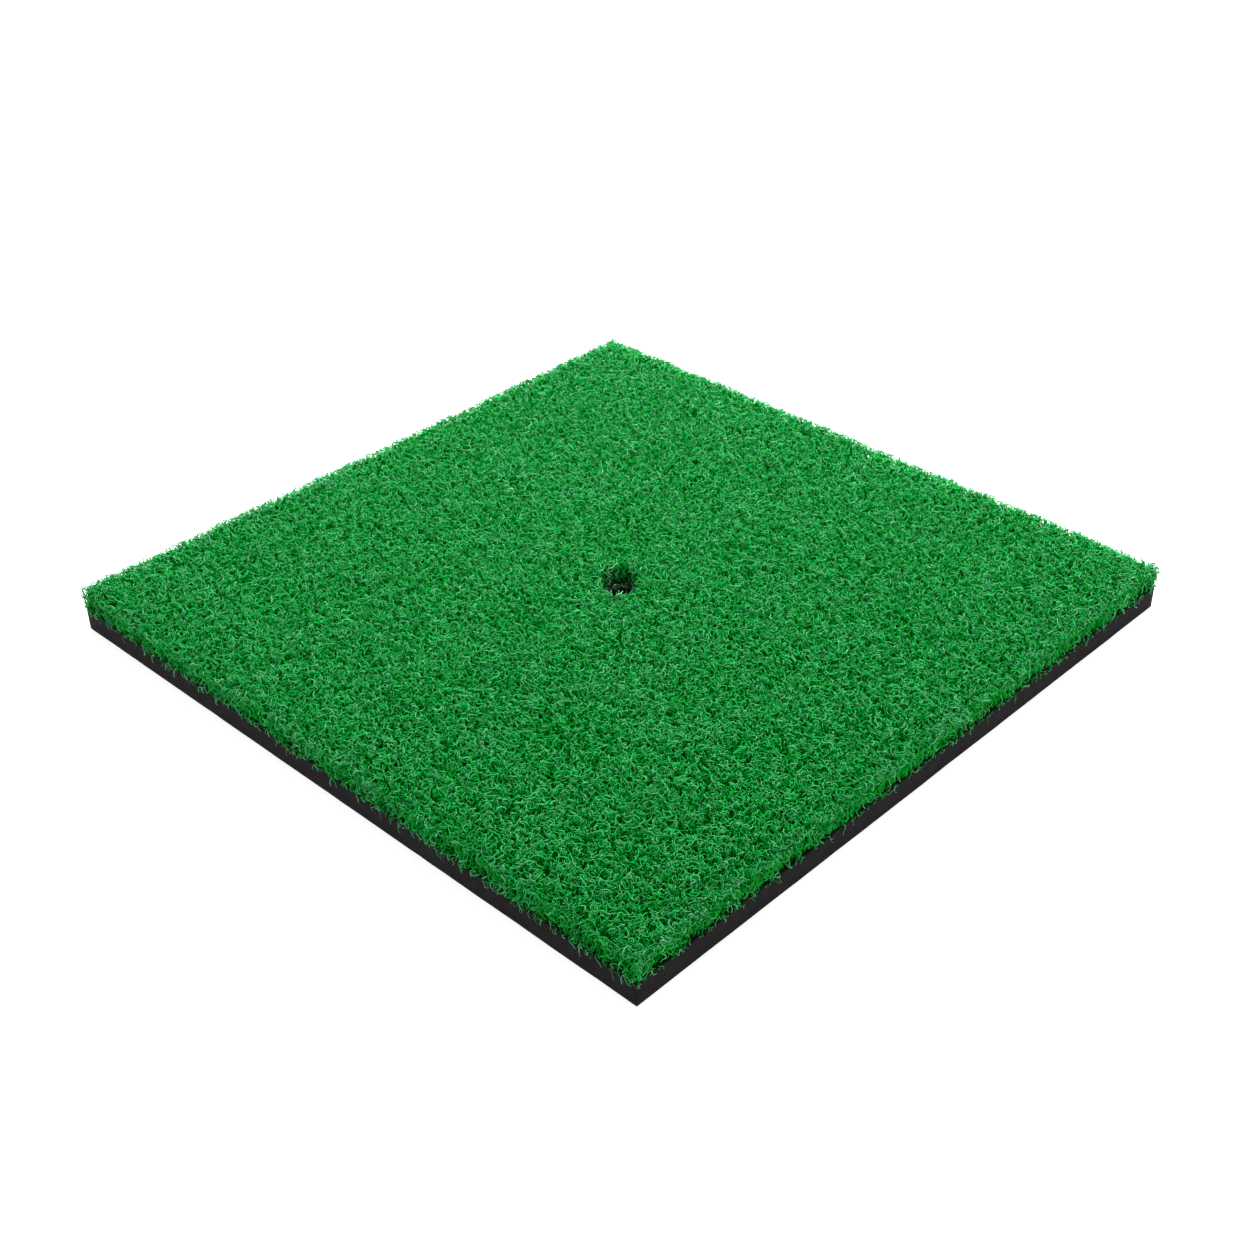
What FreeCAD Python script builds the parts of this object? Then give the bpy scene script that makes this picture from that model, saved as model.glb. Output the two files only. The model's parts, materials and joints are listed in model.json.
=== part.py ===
import FreeCAD, Part

import os

import Sketcher

# A square golf hitting mat: artificial turf bonded to a foam base, with a hole through the middle
# for a rubber tee. The turf is tufted. Each row of pile is one yarn, stitched through a woven
# cloth, and a coat of latex under the cloth locks the back stitches. The needle parts the cloth's
# threads and cuts none, so the cloth is a whole plate and each yarn is drawn in two lengths, the
# pile above the cloth and the back stitches below it.
#
# Frame: origin at the middle of the underside, +Z up through the pile, the yarn rows along X.
# Millimetres.

# alias, value, what it is
DRIVING_DIMENSIONS = [
    ("mat_side", "300", "side of the square mat"),
    ("foam_thick", "8", "foam base"),
    ("film_thick", "0.15", "adhesive film between foam and turf"),
    ("latex_thick", "0.9", "latex coat under the cloth"),
    ("cloth_thick", "0.35", "woven cloth that the yarn is stitched through"),
    ("pile_height", "9.6", "cloth to the tips of the pile"),
    ("tee_radius", "7.5", "hole for the tee through foam, film, latex and cloth"),
    ("pile_opening_radius", "8.2", "the hole in the pile, where tufts that the punch cuts are lost"),
    ("row_gauge", "6.35", "from one yarn row to the next, a quarter of an inch"),
    ("row_count", "47", "yarn rows across the mat"),
    ("row_gap", "0.35", "free space between the pile of two rows"),
    ("stitch_width", "1.8", "back stitches across the row"),
    ("stitch_depth", "0.5", "back stitches under the cloth"),
]

SHEET = "dims"

# Heights of the layers, each on top of the one before.
FILM_BASE = "dims.foam_thick"
LATEX_BASE = f"{FILM_BASE} + dims.film_thick"
CLOTH_BASE = f"{LATEX_BASE} + dims.latex_thick"
PILE_BASE = f"{CLOTH_BASE} + dims.cloth_thick"

ROW_SPAN = "(dims.row_count - 1) * dims.row_gauge"
ROW_WIDTH = "dims.row_gauge - dims.row_gap"


def add_sheet(doc):
    """The spreadsheet of driving dimensions, one row each."""
    sheet = doc.addObject("Spreadsheet::Sheet", SHEET)
    for row, (alias, value, meaning) in enumerate(DRIVING_DIMENSIONS, start=1):
        sheet.set(f"A{row}", meaning)
        sheet.set(f"B{row}", value)
        sheet.setAlias(f"B{row}", alias)
    doc.recompute()
    return sheet


def add_body(doc, label, base=None):
    """An empty body at the height that the expression base gives."""
    body = doc.addObject("PartDesign::Body", label)
    body.Label = label
    body.AllowCompound = True
    if base:
        body.setExpression("Placement.Base.z", base)
    return body


def origin_feature(body, role):
    """One of the planes and axes of a body's origin."""
    return next(f for f in body.Origin.OriginFeatures if f.Role == role)


def add_sketch(body, name, height=None, shift=None):
    """An empty sketch parallel to the body's XY plane, moved up and along Y by expressions."""
    sketch = body.newObject("Sketcher::SketchObject", f"{body.Name}_{name}_sketch")
    sketch.AttachmentSupport = [(origin_feature(body, "XY_Plane"), "")]
    sketch.MapMode = "FlatFace"
    if height:
        sketch.setExpression("AttachmentOffset.Base.z", height)
    if shift:
        sketch.setExpression("AttachmentOffset.Base.y", shift)
    return sketch


def add_size(sketch, kind, where, start, expression):
    """A dimension in a sketch, bound to an expression."""
    index = sketch.addConstraint(Sketcher.Constraint(kind, *where, start))
    sketch.setExpression(f"Constraints[{index}]", expression)


def add_rectangle(sketch, length, width):
    """A rectangle round the sketch's origin, of length along X and width along Y."""
    corners = [FreeCAD.Vector(x, y, 0) for x, y in ((-1, -1), (1, -1), (1, 1), (-1, 1))]
    lines = [
        sketch.addGeometry(Part.LineSegment(a, b))
        for a, b in zip(corners, corners[1:] + corners[:1])
    ]
    for line, following in zip(lines, lines[1:] + lines[:1]):
        sketch.addConstraint(Sketcher.Constraint("Coincident", line, 2, following, 1))
    for line in lines[0::2]:
        sketch.addConstraint(Sketcher.Constraint("Horizontal", line))
    for line in lines[1::2]:
        sketch.addConstraint(Sketcher.Constraint("Vertical", line))
    sketch.addConstraint(Sketcher.Constraint("Symmetric", lines[0], 1, lines[2], 1, -1, 1))
    add_size(sketch, "DistanceX", (lines[0], 1, lines[0], 2), 2, length)
    add_size(sketch, "DistanceY", (lines[1], 1, lines[1], 2), 2, width)


def add_circle(sketch, radius):
    """A circle round the sketch's origin."""
    circle = sketch.addGeometry(Part.Circle(FreeCAD.Vector(), FreeCAD.Vector(0, 0, 1), 3))
    sketch.addConstraint(Sketcher.Constraint("Coincident", circle, 3, -1, 1))
    add_size(sketch, "Radius", (circle,), 3, radius)


def add_feature(body, kind, name, sketch, length):
    """A pad or a pocket of a sketch, of the length that an expression gives."""
    feature = body.newObject(f"PartDesign::{kind}", f"{body.Name}_{name}")
    feature.Profile = sketch
    feature.setExpression("Length", length)
    return feature


def add_plate(doc, label, base, thickness):
    """A square layer of the mat with the tee hole in it."""
    body = add_body(doc, label, base)
    outline = add_sketch(body, "plate")
    add_rectangle(outline, "dims.mat_side", "dims.mat_side")
    add_circle(outline, "dims.tee_radius")
    add_feature(body, "Pad", "plate", outline, thickness)
    return body


def add_latex_coating(doc):
    """The latex coat, with a groove in its top for the back stitches of each row."""
    body = add_plate(doc, "latex_coating", LATEX_BASE, "dims.latex_thick")
    profile = add_sketch(body, "groove", "dims.latex_thick", f"-{ROW_SPAN} / 2")
    add_rectangle(profile, "dims.mat_side", "dims.stitch_width")
    groove = add_feature(body, "Pocket", "groove", profile, "dims.stitch_depth")
    pattern = body.newObject("PartDesign::LinearPattern", "latex_coating_grooves")
    pattern.Originals = [groove]
    pattern.Direction = (origin_feature(body, "Y_Axis"), [""])
    pattern.setExpression("Length", ROW_SPAN)
    pattern.setExpression("Occurrences", "dims.row_count")
    body.Tip = pattern
    return body


def add_tuft_row(doc, sheet, index):
    """One yarn: the strip of soft pile it makes above the cloth, and its back stitches below."""
    shift = f"({index} - (dims.row_count + 1) / 2) * dims.row_gauge"
    body = add_body(doc, f"tuft_row_{index:02d}", PILE_BASE)
    body.setExpression("Placement.Base.y", shift)

    pile = add_sketch(body, "pile")
    add_rectangle(pile, "dims.mat_side", ROW_WIDTH)
    add_feature(body, "Pad", "pile", pile, "dims.pile_height")
    stitches = add_sketch(body, "stitches", "-dims.cloth_thick - dims.stitch_depth")
    add_rectangle(stitches, "dims.mat_side", "dims.stitch_width")
    add_feature(body, "Pad", "stitches", stitches, "dims.stitch_depth")

    middle = abs(index - (sheet.row_count + 1) / 2) * sheet.row_gauge
    if middle - (sheet.row_gauge - sheet.row_gap) / 2 < sheet.pile_opening_radius:
        opening = add_sketch(body, "opening", "dims.pile_height", f"-({shift})")
        add_circle(opening, "dims.pile_opening_radius")
        add_feature(body, "Pocket", "opening", opening, "dims.pile_height")
    if middle - sheet.stitch_width / 2 < sheet.tee_radius:
        hole = add_sketch(body, "hole", "-dims.cloth_thick", f"-({shift})")
        add_circle(hole, "dims.tee_radius")
        add_feature(body, "Pocket", "hole", hole, "dims.stitch_depth")
    return body


def check(doc, pieces):
    """Stops at a failed object, a cut that removes nothing, or a piece without a sound shape."""
    for obj in doc.Objects:
        if {"Invalid", "Error"} & set(obj.State):
            raise RuntimeError(f"{obj.Label} is {obj.State}")
        if obj.TypeId == "PartDesign::Pocket":
            if obj.Shape.Volume > obj.BaseFeature.Shape.Volume - 1e-3:
                raise RuntimeError(f"{obj.Label} cuts nothing")
    for piece in pieces:
        if piece.Shape.isNull() or not piece.Shape.isValid():
            raise RuntimeError(f"{piece.Label} has no sound shape")


def main():
    doc = FreeCAD.newDocument("golf_hitting_mat")
    sheet = add_sheet(doc)
    pieces = [
        add_plate(doc, "foam_base", None, "dims.foam_thick"),
        add_plate(doc, "adhesive_film", FILM_BASE, "dims.film_thick"),
        add_latex_coating(doc),
        add_plate(doc, "primary_backing_cloth", CLOTH_BASE, "dims.cloth_thick"),
    ]
    pieces += [add_tuft_row(doc, sheet, index) for index in range(1, int(sheet.row_count) + 1)]
    doc.recompute()
    check(doc, pieces)

    os.makedirs("parts", exist_ok=True)
    for piece in pieces:
        piece.Shape.exportStep(os.path.join("parts", f"{piece.Label}.step"))


main()
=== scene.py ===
import json
import math

import bpy
import numpy as np
from mathutils import Matrix, Vector


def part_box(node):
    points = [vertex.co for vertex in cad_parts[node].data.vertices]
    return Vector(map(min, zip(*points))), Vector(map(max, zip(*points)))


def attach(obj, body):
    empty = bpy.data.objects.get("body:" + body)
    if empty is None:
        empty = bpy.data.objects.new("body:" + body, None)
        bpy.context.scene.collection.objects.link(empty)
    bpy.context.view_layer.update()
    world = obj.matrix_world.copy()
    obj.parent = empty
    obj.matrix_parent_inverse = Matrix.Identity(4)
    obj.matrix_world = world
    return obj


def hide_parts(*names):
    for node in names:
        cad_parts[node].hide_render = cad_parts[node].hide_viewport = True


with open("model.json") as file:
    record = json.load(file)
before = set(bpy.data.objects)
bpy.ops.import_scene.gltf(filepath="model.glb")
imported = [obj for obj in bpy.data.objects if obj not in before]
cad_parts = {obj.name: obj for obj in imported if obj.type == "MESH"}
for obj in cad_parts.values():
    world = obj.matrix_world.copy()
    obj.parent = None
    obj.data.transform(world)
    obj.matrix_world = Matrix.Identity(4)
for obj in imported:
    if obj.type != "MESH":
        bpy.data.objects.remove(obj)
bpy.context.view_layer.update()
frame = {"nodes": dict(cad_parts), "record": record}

# A square golf hitting mat. The CAD model's film and latex stay and get materials. Its foam and
# cloth are replaced by plates with cut edges, and each of its yarn rows by the row's filaments.
# Lengths are in millimetres, except in the camera, light and floor section, in the materials and
# in the meshes' points and the CAD parts' boxes, which are in metres.

MM = 0.001
TURN = 2 * np.pi


def row_middle(node):
    """Where a yarn row's middle line is across the mat."""
    low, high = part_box(node)
    return (low[1] + high[1]) / 2 / MM


SIDE = (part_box("foam_base")[1][0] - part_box("foam_base")[0][0]) / MM
HALF = SIDE / 2
FOAM_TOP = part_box("foam_base")[1][2] / MM
CLOTH_BASE, CLOTH_TOP = (corner[2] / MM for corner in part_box("primary_backing_cloth"))
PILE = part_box("tuft_row_01")[1][2] / MM - CLOTH_TOP
TEE_RADIUS = next(m for m in frame["record"]["mounts"] if m["name"] == "tee_hole")["dims"]["r_mm"]
ROWS = sorted(name for name in frame["nodes"] if name.startswith("tuft_row_"))
GAUGE = round(row_middle(ROWS[1]) - row_middle(ROWS[0]), 3)  # from one row to the next


# ---------------------------------------------------------------- camera, light and floor


def add_camera():
    """The photographed view: from the front right, a third of the way up, with a short tele lens."""
    azimuth, elevation, roll = (math.radians(a) for a in (44.283, 34.458, -0.787))
    place = (0.4337, -0.4453, 0.4246)
    back = Vector((
        math.sin(azimuth) * math.cos(elevation),
        -math.cos(azimuth) * math.cos(elevation),
        math.sin(elevation),
    ))
    level = (-back).cross(Vector((0, 0, 1))).normalized()
    upright = level.cross(-back)
    across = math.cos(roll) * level + math.sin(roll) * upright
    up = -math.sin(roll) * level + math.cos(roll) * upright
    data = bpy.data.cameras.new("camera")
    data.sensor_width = 36
    data.lens = 54.52
    data.clip_start = 0.02
    camera = bpy.data.objects.new("camera", data)
    turned = Matrix((across, up, back)).transposed().to_4x4()
    camera.matrix_world = Matrix.Translation(place) @ turned
    bpy.context.scene.collection.objects.link(camera)
    bpy.context.scene.camera = camera


def add_area_light(name, place, size, power):
    """A square soft box aimed at the mat."""
    data = bpy.data.lights.new(name, "AREA")
    data.shape = "SQUARE"
    data.size = size
    data.energy = power
    light = bpy.data.objects.new(name, data)
    light.location = place
    light.rotation_euler = (-Vector(place)).to_track_quat("-Z", "Y").to_euler()
    bpy.context.scene.collection.objects.link(light)


def add_floor():
    """A pale floor that glows a little, just under the mat."""
    reach, drop = 4, 0.0002
    corners = [(-reach, -reach), (reach, -reach), (reach, reach), (-reach, reach)]
    mesh = bpy.data.meshes.new("floor")
    mesh.from_pydata([(x, y, -drop) for x, y in corners], [], [(0, 1, 2, 3)])
    floor = bpy.data.objects.new("floor", mesh)
    bpy.context.scene.collection.objects.link(floor)
    material, nodes, links, shader = new_material("floor_paint")
    paint = nodes.new("ShaderNodeTexNoise")
    paint.inputs["Scale"].default_value = 3
    ramp = colour_ramp(nodes, [(0.0, (0.48, 0.48, 0.48)), (1.0, (0.52, 0.52, 0.52))])
    links.new(paint.outputs["Fac"], ramp.inputs["Fac"])
    links.new(ramp.outputs["Color"], shader.inputs["Base Color"])
    set_gloss(shader, roughness=0.9, specular=0.1)
    shader.inputs["Emission Color"].default_value = (1, 1, 1, 1)
    shader.inputs["Emission Strength"].default_value = 0.70
    mesh.materials.append(material)


def add_studio():
    """White surroundings, two soft boxes and the floor."""
    world = bpy.data.worlds.new("studio")
    world.use_nodes = True
    background = world.node_tree.nodes["Background"]
    background.inputs["Color"].default_value = (1, 1, 1, 1)
    background.inputs["Strength"].default_value = 1.0
    bpy.context.scene.world = world
    bpy.context.scene.view_settings.view_transform = "Standard"
    add_area_light("key_light", place=(-0.25, 0.5, 0.95), size=0.8, power=33)
    add_area_light("fill_light", place=(1.3, -0.7, 1.2), size=1.2, power=2)
    add_floor()


# ---------------------------------------------------------------- materials


def new_material(name):
    """A material with its node tree, and the Principled shader in it."""
    material = bpy.data.materials.new(name)
    material.use_nodes = True
    nodes, links = material.node_tree.nodes, material.node_tree.links
    return material, nodes, links, nodes["Principled BSDF"]


def set_gloss(shader, roughness, specular):
    """The shader's roughness and the level of its specular reflection."""
    shader.inputs["Roughness"].default_value = roughness
    shader.inputs["Specular IOR Level"].default_value = specular


def add_texture(nodes, links, kind, **values):
    """A texture in the object's own coordinates, with values for its sockets."""
    texture = nodes.new(f"ShaderNodeTex{kind}")
    for socket, value in values.items():
        texture.inputs[socket].default_value = value
    place = nodes.new("ShaderNodeTexCoord")
    links.new(place.outputs["Object"], texture.inputs["Vector"])
    return texture


def add_bump(nodes, links, shader, height, strength, distance):
    """A bump on the shader's normal from a height socket."""
    bump = nodes.new("ShaderNodeBump")
    bump.inputs["Strength"].default_value = strength
    bump.inputs["Distance"].default_value = distance
    links.new(height, bump.inputs["Height"])
    links.new(bump.outputs["Normal"], shader.inputs["Normal"])


def colour_ramp(nodes, stops):
    """A colour ramp with the stops (place, linear colour)."""
    ramp = nodes.new("ShaderNodeValToRGB")
    elements = ramp.color_ramp.elements
    while len(elements) < len(stops):
        elements.new(0.5)
    for element, (place, colour) in zip(elements, stops):
        element.position = place
        element.color = (*colour, 1)
    return ramp


def multiply(nodes, links, colour, factor, low, high):
    """colour times a grey that goes from low to high as factor goes from 0 to 1."""
    grey = nodes.new("ShaderNodeMapRange")
    grey.inputs["To Min"].default_value = low
    grey.inputs["To Max"].default_value = high
    links.new(factor, grey.inputs["Value"])
    scale = nodes.new("ShaderNodeVectorMath")
    scale.operation = "SCALE"
    links.new(colour, scale.inputs[0])
    links.new(grey.outputs["Result"], scale.inputs["Scale"])
    return scale.outputs["Vector"]


def yarn_material():
    """Dyed nylon filaments. The attribute strand holds a filament's shade in red, paler towards its
    tip, how far up the pile it is in green, and in blue its painted shade, darker on the near rims and
    where the filaments in front of it shade it, and painted light. The roots, which see only each
    other, are painted a more saturated green, the colour of the light between them."""
    material, nodes, links, shader = new_material("turf_yarn")
    strand = nodes.new("ShaderNodeAttribute")
    strand.attribute_name = "strand"
    parts = nodes.new("ShaderNodeSeparateColor")
    links.new(strand.outputs["Color"], parts.inputs["Color"])
    dye = colour_ramp(nodes, [
        (0.0, (0.000, 0.180, 0.014)),
        (0.45, (0.000, 0.262, 0.032)),
        (0.8, (0.068, 0.323, 0.130)),
        (1.0, (0.150, 0.445, 0.230)),
    ])
    links.new(parts.outputs["Red"], dye.inputs["Fac"])
    mottle = add_texture(nodes, links, "Noise", Scale=90, Detail=3)
    colour = multiply(nodes, links, dye.outputs["Color"], mottle.outputs["Fac"], 0.93, 1.07)
    # Painted light between the roots: low in the pile the colour turns a more saturated green.
    depth = colour_ramp(nodes, [(0.35, (0.0, 1.05, 0.22)), (1.0, (1.0, 1.0, 1.0))])
    links.new(parts.outputs["Green"], depth.inputs["Fac"])
    deeper = nodes.new("ShaderNodeVectorMath")
    deeper.operation = "MULTIPLY"
    links.new(colour, deeper.inputs[0])
    links.new(depth.outputs["Color"], deeper.inputs[1])
    # Painted shade and painted light from the blue channel: it scales the colour from 1.5 to 0.1.
    colour = multiply(nodes, links, deeper.outputs["Vector"], parts.outputs["Blue"], 1.5, 0.1)
    links.new(colour, shader.inputs["Base Color"])
    set_gloss(shader, roughness=0.4, specular=0.035)
    shader.inputs["Specular Tint"].default_value = (0.55, 1, 0.65, 1)
    return material


def foam_material():
    """Black closed-cell foam, cut through its cells at the sides."""
    material, nodes, links, shader = new_material("foam_cut")
    cells = add_texture(nodes, links, "Voronoi", Scale=1900)
    grain = add_texture(nodes, links, "Noise", Scale=160, Detail=4)
    ramp = colour_ramp(nodes, [(0.3, (0.0052, 0.0042, 0.0048)), (0.75, (0.0092, 0.0077, 0.0086))])
    links.new(grain.outputs["Fac"], ramp.inputs["Fac"])
    colour = multiply(nodes, links, ramp.outputs["Color"], cells.outputs["Distance"], 0.7, 1.5)
    links.new(colour, shader.inputs["Base Color"])
    add_bump(nodes, links, shader, cells.outputs["Distance"], strength=0.35, distance=0.0003)
    set_gloss(shader, roughness=0.9, specular=0.1)
    return material


def latex_material():
    """Black filled latex, knife-coated and slightly lumpy."""
    material, nodes, links, shader = new_material("latex_coat")
    lumps = add_texture(nodes, links, "Noise", Scale=700, Detail=5)
    ramp = colour_ramp(nodes, [(0.3, (0.0015, 0.0015, 0.0015)), (0.7, (0.005, 0.005, 0.005))])
    links.new(lumps.outputs["Fac"], ramp.inputs["Fac"])
    links.new(ramp.outputs["Color"], shader.inputs["Base Color"])
    add_bump(nodes, links, shader, lumps.outputs["Fac"], strength=0.6, distance=0.0003)
    set_gloss(shader, roughness=0.75, specular=0.07)
    return material


def adhesive_material():
    """Cured contact adhesive, dark from the foam behind it."""
    material, nodes, links, shader = new_material("adhesive")
    streaks = add_texture(nodes, links, "Noise", Scale=420)
    ramp = colour_ramp(nodes, [(0.35, (0.004, 0.004, 0.004)), (0.75, (0.010, 0.010, 0.009))])
    links.new(streaks.outputs["Fac"], ramp.inputs["Fac"])
    links.new(ramp.outputs["Color"], shader.inputs["Base Color"])
    set_gloss(shader, roughness=0.6, specular=0.15)
    return material


def cloth_material():
    """Black cloth woven from flat polypropylene tapes."""
    material, nodes, links, shader = new_material("backing_weave")
    weave = nodes.new("ShaderNodeMath")
    weave.operation = "MAXIMUM"
    for i, direction in enumerate("XY"):
        tapes = add_texture(nodes, links, "Wave", Scale=240, Distortion=0.6)
        tapes.bands_direction = direction
        links.new(tapes.outputs["Fac"], weave.inputs[i])
    ramp = colour_ramp(nodes, [(0.2, (0.002, 0.002, 0.002)), (0.9, (0.008, 0.009, 0.008))])
    links.new(weave.outputs["Value"], ramp.inputs["Fac"])
    links.new(ramp.outputs["Color"], shader.inputs["Base Color"])
    add_bump(nodes, links, shader, weave.outputs["Value"], strength=0.7, distance=0.0002)
    set_gloss(shader, roughness=0.6, specular=0.08)
    return material


# ---------------------------------------------------------------- meshes

TUBE_CORNERS = (math.pi / 2, math.pi * 7 / 6, math.pi * 11 / 6)  # a tube's section is a triangle
PLATE_STEP = 2.5  # between the points round a plate
LEVEL_STEP = 1.2  # between the levels of a plate's side
SOFT_EDGE = 0.2  # bevel of a plate's edges
FRINGE_ENDS = 620


def add_piece(name, points, faces, material, replaced=()):
    """A piece of the mat from points and arrays of quads and triangles."""
    mesh = bpy.data.meshes.new(name)
    mesh.vertices.add(len(points))
    mesh.vertices.foreach_set("co", (points * MM).astype(np.float32).ravel())
    loops = np.concatenate([f.ravel() for f in faces])
    sizes = np.concatenate([np.full(len(f), f.shape[1]) for f in faces])
    mesh.loops.add(len(loops))
    mesh.loops.foreach_set("vertex_index", loops.astype(np.int32))
    mesh.polygons.add(len(sizes))
    starts = np.concatenate([[0], np.cumsum(sizes)[:-1]])
    mesh.polygons.foreach_set("loop_start", starts.astype(np.int32))
    mesh.polygons.foreach_set("use_smooth", np.ones(len(sizes), bool))
    mesh.update(calc_edges=True)
    mesh.materials.append(material)
    piece = bpy.data.objects.new(name, mesh)
    bpy.context.scene.collection.objects.link(piece)
    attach(piece, "root")
    if replaced:
        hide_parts(*replaced)
    return piece


def waves(seed, length):
    """A smooth random field over the mat, about 0 with a spread of 1, with ripples of about that
    length."""
    count = 14
    rng = np.random.default_rng(seed)
    turn = rng.uniform(0, TURN, count)
    pace = TURN / (length * rng.uniform(0.6, 1.7, count))
    phase = rng.uniform(0, TURN, count)

    def field(x, y):
        along = np.multiply.outer(x, pace * np.cos(turn))
        along = along + np.multiply.outer(y, pace * np.sin(turn))
        return np.sin(along + phase).sum(-1) * math.sqrt(2 / count)

    return field


def smooth(value):
    """A step from 0 to 1 with flat ends."""
    value = np.clip(value, 0, 1)
    return value * value * (3 - 2 * value)


def unit(vectors):
    """Vectors scaled to length 1."""
    return vectors / np.maximum(np.linalg.norm(vectors, axis=-1, keepdims=True), 1e-9)


def tubes(paths, radii, flatness, turn):
    """Points and faces of tubes along paths of shape (n, k, 3), with radii (n, k). A tube's section
    is turned by turn, and flatness is its width one way to its width the other way."""
    n, k = paths.shape[:2]
    corners = len(TUBE_CORNERS)
    along = unit(np.gradient(paths, axis=1))
    side = np.stack([np.cos(turn), np.sin(turn), np.zeros(n)], axis=1)
    rings = np.empty((n, k, corners, 3))
    for i in range(k):
        side = unit(side - (side * along[:, i]).sum(1, keepdims=True) * along[:, i])
        other = np.cross(along[:, i], side) * flatness[:, None]
        for j, angle in enumerate(TUBE_CORNERS):
            offset = math.cos(angle) * side + math.sin(angle) * other
            rings[:, i, j] = paths[:, i] + radii[:, i, None] * offset
    start = np.arange(n * k).reshape(n, k, 1) * corners
    here, there = start[:, :-1], start[:, 1:]
    corner = np.arange(corners)
    following = (corner + 1) % corners
    quads = [here + corner, here + following, there + following, there + corner]
    caps = np.concatenate([start[:, 0] + corner[::-1], start[:, -1] + corner])
    return rings.reshape(-1, 3), [np.stack(quads, axis=-1).reshape(-1, 4), caps]


def add_uv_cells(mesh, loops, n, k):
    """A UV map that gives each of a mesh's n tubes, of k rings, a cell of its own."""
    columns = math.ceil(math.sqrt(n * 2.4))  # so the cells are 2.4 times as high as wide
    lines = math.ceil(n / columns)
    column, line = np.arange(n) % columns, np.arange(n) // columns
    u = (column[:, None, None] + np.array([0.2, 0.5, 0.8])) / columns
    v = (line[:, None, None] + 0.06 + 0.88 * np.linspace(0, 1, k)[None, :, None]) / lines
    uv = np.stack(np.broadcast_arrays(u, v), axis=-1).reshape(-1, 2)
    layer = mesh.uv_layers.new(name="OFBake")
    layer.uv.foreach_set("vector", uv[loops].astype(np.float32).ravel())


def add_strands(name, paths, radii, flatness, turn, strand, material, slot, replaced=()):
    """A piece made of tubes, with the attribute that the yarn's material reads, which has the shape
    (n, k, 3), and a UV map."""
    n, k = paths.shape[:2]
    points, faces = tubes(paths, radii, flatness, turn)
    piece = add_piece(name, points, faces, material, replaced)
    colour = np.concatenate([strand, np.ones((n, k, 1))], axis=2).reshape(-1, 4)
    colour = np.repeat(colour, len(TUBE_CORNERS), axis=0)
    data = piece.data.attributes.new("strand", "FLOAT_COLOR", "POINT")
    data.data.foreach_set("color", colour.astype(np.float32).ravel())
    add_uv_cells(piece.data, np.concatenate([f.ravel() for f in faces]), n, k)
    return piece


def outline():
    """Points round the mat's square edge, and the outward directions there."""
    count = int(SIDE / PLATE_STEP)
    run = np.linspace(-HALF, HALF, count + 1)[:-1]
    full = np.full(count, HALF)
    sides = [(run, -full), (full, run), (-run, full), (-full, -run)]
    points = np.concatenate([np.stack(side, 1) for side in sides])
    out = np.where(np.abs(points) > HALF - 1e-6, np.sign(points), 0)
    return points, out


def add_plate(name, base, top, wobble, seed, material, replaced):
    """A layer of the mat: soft edges, and a side that is a little uneven from cutting."""
    edge, out = outline()
    x, y = edge.T
    spoke = unit(edge)
    thick = top - base
    soft = min(SOFT_EDGE, thick / 3)
    near = 0.3 * soft
    uneven = waves(seed, 30)(x, y) + 0.5 * waves(seed + 1, 7)(x, y)
    levels = np.linspace(base + soft, top - soft, max(2, round(thick / LEVEL_STEP)))
    # Rings of points round the section: whether it is the mat's side, how far in it is, its level.
    rings = [(False, soft, base), (True, soft, base), (True, near, base + near)]
    rings += [(True, 0, z) for z in levels]
    rings += [(True, near, top - near), (True, soft, top), (False, soft, top)]
    rings += [(False, 0, z) for z in levels[::-1]]
    points = []
    for i, (outer, inset, z) in enumerate(rings):
        if outer:
            grain = waves(seed + 2 + i, 9)(x, y)
            flat = edge - out * (inset + wobble * (1 + uneven * 0.6 + grain * 0.25))[:, None]
        else:
            flat = spoke * (TEE_RADIUS + inset)
        points.append(np.column_stack([flat, np.full(len(edge), z)]))
    index = np.arange(len(rings) * len(edge)).reshape(len(rings), len(edge))
    following = np.roll(index, -1, axis=1)
    after, after_following = np.roll(index, -1, axis=0), np.roll(following, -1, axis=0)
    quads = np.stack([index, following, after_following, after], axis=-1).reshape(-1, 4)
    return add_piece(name, np.concatenate(points), [quads], material, replaced)


def add_fringe(material):
    """Ends of the cloth's flat tapes, frayed where the mat was cut."""
    rng = np.random.default_rng(77)
    n = FRINGE_ENDS
    side = rng.integers(0, 4, n)
    run = rng.uniform(-HALF + 0.5, HALF - 0.5, n)
    out = np.array([(0, -1), (1, 0), (0, 1), (-1, 0)])[side]
    across = np.stack([-out[:, 1], out[:, 0]], 1)
    length = 0.25 + 1.5 * rng.random(n) ** 3
    bend = rng.normal(0, 0.35, n)
    sag = rng.uniform(-0.25, 0.8, n)
    t = np.linspace(0, 1, 4)[None, :, None]
    foot = (out * HALF + across * run[:, None])[:, None]
    flat = foot + out[:, None] * (length[:, None, None] * t - 0.5)
    flat = flat + across[:, None] * (bend * length)[:, None, None] * t**2
    height = (CLOTH_BASE + CLOTH_TOP) / 2 - (sag * length)[:, None, None] * t**2
    paths = np.concatenate([flat, np.broadcast_to(height, (n, 4, 1))], axis=2)
    radii = rng.uniform(0.25, 0.55, n)[:, None] * [1, 1, 1, 0.8]
    turn = np.arctan2(across[:, 1], across[:, 0])
    points, faces = tubes(paths, radii, np.full(n, 0.16), turn)
    return add_piece("backing_fringe", points, faces, material)


# ---------------------------------------------------------------- pile

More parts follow.
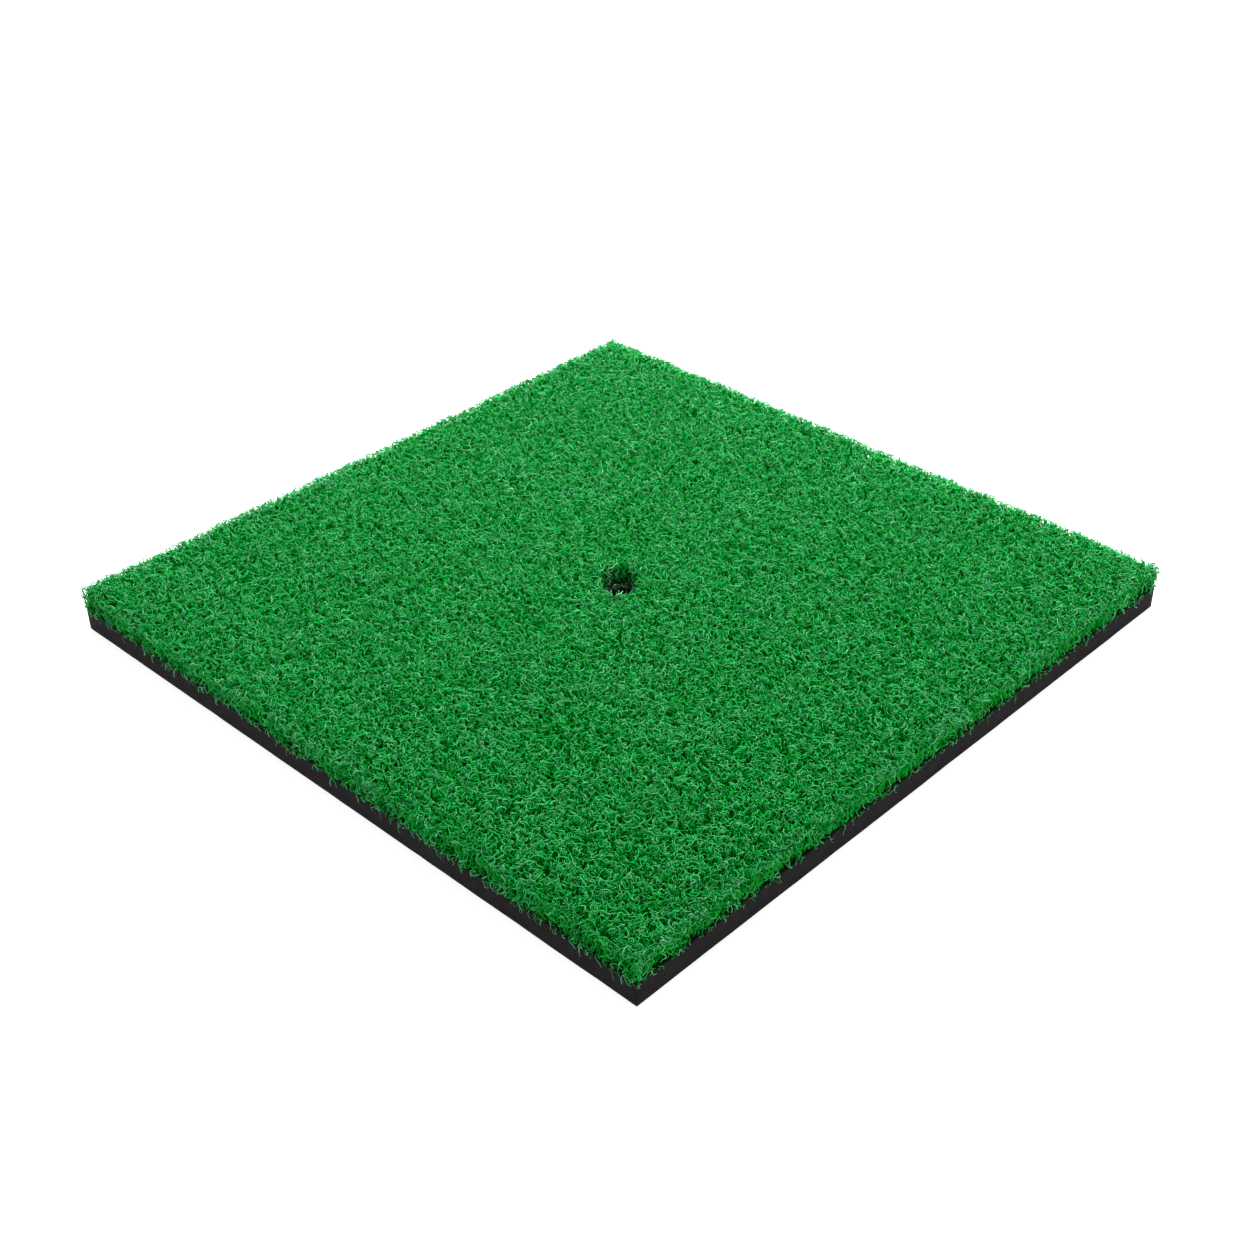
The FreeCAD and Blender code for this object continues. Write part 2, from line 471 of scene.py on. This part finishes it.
STITCH = 3.8  # from one tuft to the next along a row
TUFTS = int(SIDE / STITCH)  # in a row
PER_TUFT = 16  # filaments in a tuft
GOLDEN = 0.618034  # of the gauge, from one filament to the next: spreads them evenly across the row
CRIMP = (3.8, 6.4)  # shortest and longest wave of the filaments' crimp
LENGTH = (13, 17.5)  # shortest and longest of them, pulled straight, where the pile is level
RADIUS = (0.20, 0.27)  # thinnest and thickest of them, near the middle of their length
PLAIN = 0.33  # how dark a filament is with no painted shade or light on it, from 0 to 1
MARGIN = 0.3  # from the mat's edge to the outermost roots
FADE = 1.6  # the rim's effect on the pile falls off over this
RIM_REACH = 1.3  # past the mat's edge, where the pile is trimmed
RIM_WAVE = 14  # ripples in how close to the edge the outermost filaments stand
LEAN_WAVE = 38  # ripples in the pile's lean
TOP_WAVE = 26  # ripples in the pile's level
OPENING = np.array([-1.85, 0.2])  # middle of the gap that the pile leaves round the tee hole
OPENING_LONG, OPENING_WIDE = 9.9, 7.5  # its half axes, the long one at 135 degrees to X
SIDE_CROWD = 64  # more filaments of a row at the mat's sides
FAR_CROWD, NEAR_CROWD = 2300, 750  # and along the last rows, at +Y and at -Y
GAP_CROWD = 60  # and round the gap, over all its rows
RIM_HALF = 3.17  # how far from its middle line a row's share of them stands
SIDE_ENDS, LAST_ENDS, HOLE_ENDS = 8, 240, 36  # loose cut ends at the same three places
SIDE_ENDS_HALF, HOLE_ENDS_HALF = 3.1, 3.2  # how far from its middle line a row's share stands
STITCH_LANES = (-0.57, -0.19, 0.19, 0.57)  # the strands of a back stitch
STITCH_RADIUS = 0.24
STITCH_HALF = 0.9  # half the width of the stitches
# The points of a filament, as shares of its length: closer together at the tip, which shows.
SHARES = np.array([0, 0.22, 0.39, 0.51, 0.6, 0.67, 0.73, 0.79, 0.845, 0.9, 0.95, 1])


def past_opening(places):
    """How far places are outside the pile's gap round the tee hole."""
    x = (places[..., 0] - OPENING[0]) * math.sqrt(0.5)
    y = (places[..., 1] - OPENING[1]) * math.sqrt(0.5)
    share = np.hypot((y - x) / OPENING_LONG, (x + y) / OPENING_WIDE)
    return (share - 1) * (OPENING_LONG + OPENING_WIDE) / 2


def front_rim(root, fade):
    """1 at the mat's sides at +X and at -Y, falling off inwards."""
    return np.exp(-(HALF + np.array([-1, 1]) * root) / fade).max(1)


class Filaments:
    """One row's filaments by their roots, an entry each, and how exposed they are there."""

    def __init__(self, root, tuft, spread, low, crowded):
        self.root = root
        self.tuft = tuft  # which one of the row's it is in
        self.spread = spread  # its place from the middle of the tuft
        self.low = low  # 1 for the low filaments of the rim
        self.crowded = crowded  # whether it is one that thickens the rim
        self.count = len(root)
        self.sides = np.exp(-(HALF - np.abs(root)) / FADE)
        self.edge = self.sides.max(1)
        self.front = front_rim(root, FADE)
        self.far = np.exp((root[:, 1] - HALF) / FADE)
        self.right = np.exp((root[:, 0] - HALF) / 5)[:, None]
        self.from_gap = past_opening(root)
        # In the open, at the edge and round the gap, a filament shows all of its crimp, so its
        # points are evenly spaced.
        self.open_air = np.clip(1.6 * np.maximum(self.edge, np.exp(-self.from_gap / 1.5)), 0, 1)
        even = np.linspace(0, 1, len(SHARES))
        self.shares = SHARES + self.open_air[:, None] * (even - SHARES)


def tuft_at(x):
    """The index of the tuft at x along a row."""
    return np.clip((x + HALF) / SIDE * TUFTS, 0, TUFTS - 1).astype(int)


def planted(rng, row_y, last):
    """The filaments of a row. Above its needle holes the yarn opens out evenly until it meets the
    next row or the mat's edge."""
    n = TUFTS * PER_TUFT
    place = np.arange(n) + 0.5
    x = place / n * (SIDE - 2 * MARGIN) - HALF + MARGIN + rng.normal(0, 0.25, n)
    y = ((place * GOLDEN + rng.random()) % 1 - 0.5) * GAUGE + rng.normal(0, 0.3, n)
    if last:
        y = np.where(y * row_y > 0, y * (HALF - MARGIN - abs(row_y)) / (GAUGE / 2), y)
    tuft = tuft_at(x)
    tuft_x = (tuft + 0.5) * SIDE / TUFTS - HALF
    spread = np.stack([x - tuft_x, y], axis=1)
    x, y = tuft_x + 0.92 * spread[:, 0], row_y + 0.97 * spread[:, 1]

    rim_x, rim_y, rim_low = rim_places(rng, row_y, last)
    root = np.stack([np.concatenate([x, rim_x]), np.concatenate([y, rim_y])], axis=1)
    root = np.clip(root, MARGIN - HALF, HALF - MARGIN)
    tuft = np.concatenate([tuft, tuft_at(rim_x)])
    spread = np.concatenate([spread, np.zeros((len(rim_x), 2))])
    low = np.concatenate([np.zeros(n), rim_low])
    crowded = np.arange(len(root)) >= n
    on_cloth = np.hypot(root[:, 0], root[:, 1]) > TEE_RADIUS + 0.5
    keep = on_cloth & (past_opening(root) > rng.uniform(-0.6, 0.6, len(root)))
    return Filaments(*(v[keep] for v in (root, tuft, spread, low, crowded)))


def rim_places(rng, row_y, last):
    """Places of the row's filaments that are crowded against the mat's edge and the gap in the pile,
    and which of them are low."""
    side = np.where(np.arange(SIDE_CROWD) % 3, -1, 1)
    y = rng.uniform(row_y - RIM_HALF, row_y + RIM_HALF, SIDE_CROWD)
    depth = rng.uniform(0.4, 2.2, SIDE_CROWD) + np.where(side > 0, 0.7, 0)
    depth = depth + np.maximum(0.5 * waves(8, RIM_WAVE)(side * HALF, y), 0)
    x = side * (HALF - depth)
    if last:
        crowd = FAR_CROWD if row_y > 0 else NEAR_CROWD
        run = rng.uniform(MARGIN - HALF, HALF - MARGIN, crowd)
        depth = rng.uniform(0.3, 2.2, crowd)
        depth = depth + np.maximum(0.5 * waves(9, RIM_WAVE)(run, np.full(crowd, row_y)), 0)
        x = np.concatenate([x, run])
        y = np.concatenate([y, math.copysign(1, row_y) * (HALF - depth)])
    # Along -Y many are low, fewer towards the corner at -X.
    share = np.where(x > HALF - 4, 0.06, 0.08)
    share = np.where(y < 4 - HALF, 0.35 * smooth((x + HALF - 6) / 20), share)
    low = (rng.random(len(x)) < share).astype(float)
    if abs(row_y) < TEE_RADIUS + 6:
        turn = rng.uniform(0, TURN, GAP_CROWD)
        away = OPENING_WIDE + rng.uniform(0, 1.5, GAP_CROWD)
        ring = OPENING + away[:, None] * np.stack([np.cos(turn), np.sin(turn)], 1)
        ring += np.maximum(0, -past_opening(ring))[:, None] * unit(ring - OPENING)
        ring = ring[np.abs(ring[:, 1] - row_y) < RIM_HALF]
        x, y = np.concatenate([x, ring[:, 0]]), np.concatenate([y, ring[:, 1]])
        low = np.concatenate([low, np.arange(len(ring)) % 2])
    return x, y, low


def curled(rng, lean, length, loose, shares):
    """Paths of filaments from their roots, at shares of their length: each is crimped in a plane of
    its own, which turns slowly, and the tip bends over. The crimp of loose ones is as wide at the
    root as at the tip."""
    n = len(length)
    s = shares * length[:, None]
    pace = TURN / rng.uniform(*CRIMP, n)[:, None]
    phase, second_phase, plane, tip_way = rng.uniform(0, TURN, (4, n, 1))
    plane = plane + s * rng.normal(0, 0.07, n)[:, None]
    size = 0.5 + 0.7 * np.maximum(smooth(s / 8), loose[:, None])
    size = size * rng.uniform(0.7, 1.3, n)[:, None]
    swing = size * np.sin(pace * s + phase)
    sway = 0.55 * size * np.sin(0.61 * pace * s + second_phase)
    bend = rng.uniform(0.2, 1.4, n)[:, None] * smooth((s - length[:, None] + 6.5) / 6)
    tilt = np.stack([
        lean[:, 0, None] + swing * np.cos(plane) - sway * np.sin(plane) + bend * np.cos(tip_way),
        lean[:, 1, None] + swing * np.sin(plane) + sway * np.cos(plane) + bend * np.sin(tip_way),
    ], axis=2)
    angle = np.linalg.norm(tilt, axis=2)[:, :, None]
    heading = np.concatenate([tilt * np.sin(angle) / np.maximum(angle, 1e-6), np.cos(angle)], axis=2)
    step = np.diff(s, axis=1)[:, :, None] * (heading[:, 1:] + heading[:, :-1]) / 2
    return np.concatenate([np.zeros((n, 1, 3)), np.cumsum(step, axis=1)], axis=1)


def grown(rng, yarn):
    """The filaments' paths, before the rim is trimmed."""
    n = yarn.count
    x, y = yarn.root.T
    is_low = yarn.low > 0
    lean = np.stack([waves(1, LEAN_WAVE)(x, y), waves(2, LEAN_WAVE)(x, y)], axis=1) * 0.05
    of_tuft = rng.normal(0, 0.025, (TUFTS, 2))[yarn.tuft]
    own = rng.normal(0, 0.13, (n, 2))
    lean += of_tuft + own + 0.2 * yarn.spread / PILE
    outward = np.where(is_low, rng.uniform(-0.2, 0.6, n), 0.28 - 0.18 * yarn.front)
    lean += np.sign(yarn.root) * yarn.sides * outward[:, None]

    # The shearing levels the pile, so each filament's highest point is near the top, and only a
    # few in the middle and the low ones at the rim are shorter.
    short = np.where(is_low, rng.uniform(0.1, 0.7, n), 0.35 * rng.random(n) ** 3.5)
    level = 1.01 + 0.012 * waves(3, TOP_WAVE)(x, y)
    level = level + 0.065 * (yarn.edge - yarn.front) - 0.035 * yarn.far
    tops = PILE * (level + rng.normal(0, 0.024, n) - short)
    length = rng.uniform(*LENGTH, n) * tops / PILE
    path = curled(rng, lean, length, np.maximum(yarn.low, yarn.open_air), yarn.shares)
    highest = np.maximum(path[:, :, 2].max(1), 0.5)
    path *= np.clip(tops / highest, 0.6, 1.35)[:, None, None]
    path += np.stack([x, y, np.full(n, CLOTH_TOP - 0.1)], axis=1)[:, None]
    return path


def trim(rng, yarn, path):
    """Presses the filaments back at the mat's edge and at the gap round the tee hole. Each keeps a
    reach of its own past the edge, and hangs there, and few reach far into the gap."""
    n = yarn.count
    follows = np.minimum(yarn.shares / 0.6, 1)[:, :, None]
    outward = np.sign(yarn.root)[:, None]
    reach = (path[:, :, :2] * outward).max(1) - HALF
    uneven = 1 + 4.5 * yarn.front * (1 - 0.6 * yarn.right[:, 0])
    limit = RIM_REACH + rng.uniform(-0.18, 0.18, n) * uneven
    excess = np.maximum(reach - limit[:, None], 0)
    path[:, :, :2] -= outward * excess[:, None] * follows
    outside = np.maximum(np.abs(path[:, :, :2]) - HALF, 0).max(2)
    path[:, :, 2] = np.maximum(path[:, :, 2] - 0.2 * outside, CLOTH_TOP + 0.3 - 0.8 * outside)

    reach = -past_opening(path).min(1)
    limit = np.where(rng.random(n) < 0.06, 2.5, rng.uniform(-0.3, 1, n))
    excess = np.maximum(reach - limit, 0)
    path[:, :, :2] += excess[:, None, None] * unit(yarn.root - OPENING)[:, None] * follows


def thickness(rng, yarn):
    """The filaments' radii: thick at the root inside the pile, and thin at the tip."""
    swelling = 0.9 * (1 - yarn.open_air[:, None]) * (1 - smooth(yarn.shares / 0.75))
    girth = 1 + swelling - 0.35 * smooth((yarn.shares - 0.85) / 0.15)
    radius = rng.uniform(*RADIUS, yarn.count)[:, None] * girth
    return radius * (1 + 0.4 * (yarn.edge - yarn.front) + 0.15 * yarn.far)[:, None]


def tinted(rng, yarn, path):
    """What the yarn's material reads: a filament's shade, how far up the pile it is, and its painted
    shade and light: darker on the near rims and behind the filaments in front of it, lighter where
    light is painted."""
    n = yarn.count
    x, y = yarn.root.T
    open_air = yarn.open_air[:, None]
    variety = 0.11 + 0.05 * smooth((y - x) / SIDE) + 0.12 * yarn.open_air
    shade = 0.40 + variety * rng.normal(0, 1, n) + 0.015 * rng.normal(0, 1, TUFTS)[yarn.tuft]
    # Painted light: about a third of the filaments at the gap round the tee hole are paler.
    shade += np.where((yarn.from_gap < 1.2) & (rng.random(n) < 0.35), 0.3, 0)
    shade = np.clip(shade[:, None] + 0.3 * yarn.shares**4, 0, 1)
    climb = (path[:, :, 2] - CLOTH_TOP) / PILE
    # Green sets the painted root colour, which filaments in the open don't get.
    height = np.clip(climb, 0.95 * open_air, 1)

    inside = HALF - np.abs(path[:, :, :2]).max(2)
    behind = np.minimum(inside - 0.3, past_opening(path) - 0.3)
    rim_gap = np.minimum(HALF - np.abs(yarn.root).max(1), np.maximum(yarn.from_gap, 0))
    # Painted shade: low points behind the pile's face at the rim and at the gap are darker, where the
    # filaments in front shade them, less so at +X.
    hidden = np.exp(-rim_gap / 5)[:, None] * smooth(behind / 2)
    hidden = hidden * (1 - smooth((climb - 0.25 + 0.2 * yarn.right) / 0.55))
    # Painted shade: darker tips along the near rims at +X and -Y, darker roots at the rim and round the
    # gap, and tips a little darker towards the corner at +X -Y.
    near_rim_shade = front_rim(yarn.root, 4) * rng.uniform(0.4, 1.0, n)
    painted_shade = near_rim_shade[:, None] * (0.02 + 0.5 * smooth(1.1 * climb))
    painted_shade += 0.5 * open_air * smooth(1.6 - 8 * climb) * (inside > -0.3)
    painted_shade += 0.07 * smooth((x - y) / SIDE)[:, None] * yarn.shares**2
    dark = painted_shade + 0.9 * hidden + open_air * rng.normal(0, 0.2, n)[:, None]
    # Painted light: the foot of the pile at +X is lighter, and so are its tips along +Y and -X, where
    # light shines through them.
    upper = smooth((climb - 0.3) / 0.4)
    painted_light = yarn.right * (1 - upper) * (inside > -1.2)
    back = np.maximum(np.exp((y - HALF) / 6.5), 0.55 * np.exp(-(HALF + x) / 6.5))[:, None]
    painted_light += 0.95 * back * upper
    dark = np.clip(PLAIN + (1 - PLAIN) * dark - 0.25 * painted_light, 0, 1)
    return np.stack([shade, height, dark], axis=2)


def cut_ends(rng, row_y, last):
    """Paths and radii of the row's loose ends where the mat was cut: they come out over the mat's
    edge and over the tee hole, curl, and some hang. Most are single fibres, thinner than the rest."""
    side_y = rng.uniform(row_y - SIDE_ENDS_HALF, row_y + SIDE_ENDS_HALF, SIDE_ENDS)
    side_x = np.where(np.arange(SIDE_ENDS) % 4, -HALF, HALF)
    roots = [np.stack([side_x, side_y], 1)]
    out = [np.stack([np.sign(side_x), np.zeros(SIDE_ENDS)], 1)]
    if last:
        run = rng.uniform(-HALF + 0.5, HALF - 0.5, LAST_ENDS)
        roots.append(np.stack([run, np.full(LAST_ENDS, math.copysign(HALF, row_y))], 1))
        out.append(np.tile([0, math.copysign(1, row_y)], (LAST_ENDS, 1)))
    if abs(row_y) < TEE_RADIUS:
        angle = rng.uniform(0, TURN, HOLE_ENDS)
        ring = np.stack([np.cos(angle), np.sin(angle)], 1)
        ring = ring[np.abs(ring[:, 1] * TEE_RADIUS - row_y) < HOLE_ENDS_HALF]
        roots.append(ring * TEE_RADIUS)
        out.append(-ring)
    root, out = np.concatenate(roots), np.concatenate(out)
    n = len(root)
    root = root - 0.5 * out
    across = np.stack([-out[:, 1], out[:, 0]], 1)
    reach = rng.uniform(0.6, 2.0, n)[:, None]
    drop = (0.1 + 3.2 * rng.random(n) ** 4)[:, None]
    rise = rng.uniform(0.2, 2.6, n)[:, None]
    t = np.linspace(0, 1, len(SHARES))[None]
    sideways = rng.normal(0, 1.6, n)[:, None] * t**1.5
    phase, pace = rng.uniform(0, TURN, (n, 1)), rng.uniform(5, 11, (n, 1))
    curl = 0.7 * t**0.7 * np.sin(pace * t + phase)
    forward = reach * np.sin(0.5 * np.pi * np.minimum(1.25 * t, 1))
    forward = forward + 0.35 * t * np.cos(pace * t + phase)
    flat = root[:, None] + out[:, None] * forward[:, :, None]
    flat = flat + across[:, None] * (sideways + curl)[:, :, None]
    z = CLOTH_TOP + 0.1 + rise * np.sin(np.pi * t**0.8) - drop * t**2
    z = z + 0.4 * t * np.sin(1.3 * pace * t)
    radius = np.where(rng.random(n) < 0.65, rng.uniform(0.07, 0.13, n), rng.uniform(0.13, 0.21, n))
    return np.concatenate([flat, z[:, :, None]], axis=2), radius[:, None] * (1 - 0.3 * t**3)


def tinted_ends(rng, n):
    """What the yarn's material reads on n cut ends."""
    shade = np.clip(rng.normal(0.4, 0.25, n)[:, None] + 0.6 * SHARES[None] ** 2, 0, 1)
    dark = PLAIN + (1 - PLAIN) * (0.4 - 0.3 * shade)
    return np.stack([shade, np.full_like(shade, 0.8), dark], axis=2)


def back_stitches(rng, row_y):
    """Paths of the yarn under the cloth, four strands side by side, stopped at the tee hole."""
    nearest = abs(row_y) - STITCH_HALF
    spans = [(-HALF, HALF)]
    if nearest < TEE_RADIUS:
        half_chord = math.sqrt(max(TEE_RADIUS**2 - nearest**2, 0))
        spans = [(-HALF, -half_chord), (half_chord, HALF)]
    paths = []
    for start, end in spans:
        for lane in STITCH_LANES:
            x = np.linspace(start + 0.02, end - 0.02, len(SHARES))
            y = row_y + lane + rng.normal(0, 0.03, len(SHARES))
            z = np.full(len(SHARES), CLOTH_BASE - STITCH_RADIUS)
            paths.append(np.stack([x, y, z], axis=1))
    return np.array(paths)


def add_row(node, index, material):
    """The curled filaments of one yarn row, its cut ends, and its back stitches under the cloth."""
    rng = np.random.default_rng(1000 + index)
    row_y = row_middle(node)
    last = node in (ROWS[0], ROWS[-1])
    yarn = planted(rng, row_y, last)
    path = grown(rng, yarn)
    trim(rng, yarn, path)
    radius = thickness(rng, yarn)
    flatness = rng.uniform(0.55, 1.0, yarn.count)
    turn = rng.uniform(0, TURN, yarn.count)
    strand = tinted(rng, yarn, path)

    ends, end_radius = cut_ends(rng, row_y, last)
    k = len(ends)
    end_strand = tinted_ends(rng, k)
    stitches = back_stitches(rng, row_y)
    m, points = stitches.shape[:2]
    stitch_strand = np.broadcast_to([0.35, 0.3, PLAIN], (m, points, 3))
    strands = [
        np.concatenate([path, ends, stitches]),
        np.concatenate([radius, end_radius, np.full((m, points), STITCH_RADIUS)]),
        np.concatenate([flatness, rng.uniform(0.6, 1, k), np.full(m, 0.8)]),
        np.concatenate([turn, rng.uniform(0, TURN, k), np.full(m, np.pi / 2)]),
        np.concatenate([strand, end_strand, stitch_strand]),
    ]
    # On the mat's last rows the crowded filaments and the ends are a piece of their own, because
    # one piece would be too heavy.
    rim = np.concatenate([yarn.crowded & last, np.full(k, last), np.zeros(m, bool)])
    add_strands(f"turf_{node}", *(part[~rim] for part in strands), material, "yarn", [node])
    if last:
        add_strands(f"turf_{node}_rim", *(part[rim] for part in strands), material, "yarn")


# ---------------------------------------------------------------- the mat


def add_base():
    """The foam, the cloth with its fringe, and the materials of the film and the latex."""
    foam = add_plate("foam_pad", 0, FOAM_TOP, 0.05, 500, foam_material(), ["foam_base"])
    weave = cloth_material()
    cloth = add_plate(
        "backing_cloth", CLOTH_BASE, CLOTH_TOP, 0.10, 600, weave, ["primary_backing_cloth"]
    )
    fringe = add_fringe(weave)
    for node, material in (("adhesive_film", adhesive_material()), ("latex_coating", latex_material())):
        for material_slot in frame["nodes"][node].material_slots:
            material_slot.material = material


def main():
    add_camera()
    add_studio()
    yarn = yarn_material()
    for index, node in enumerate(ROWS):
        add_row(node, index, yarn)
    add_base()


main()
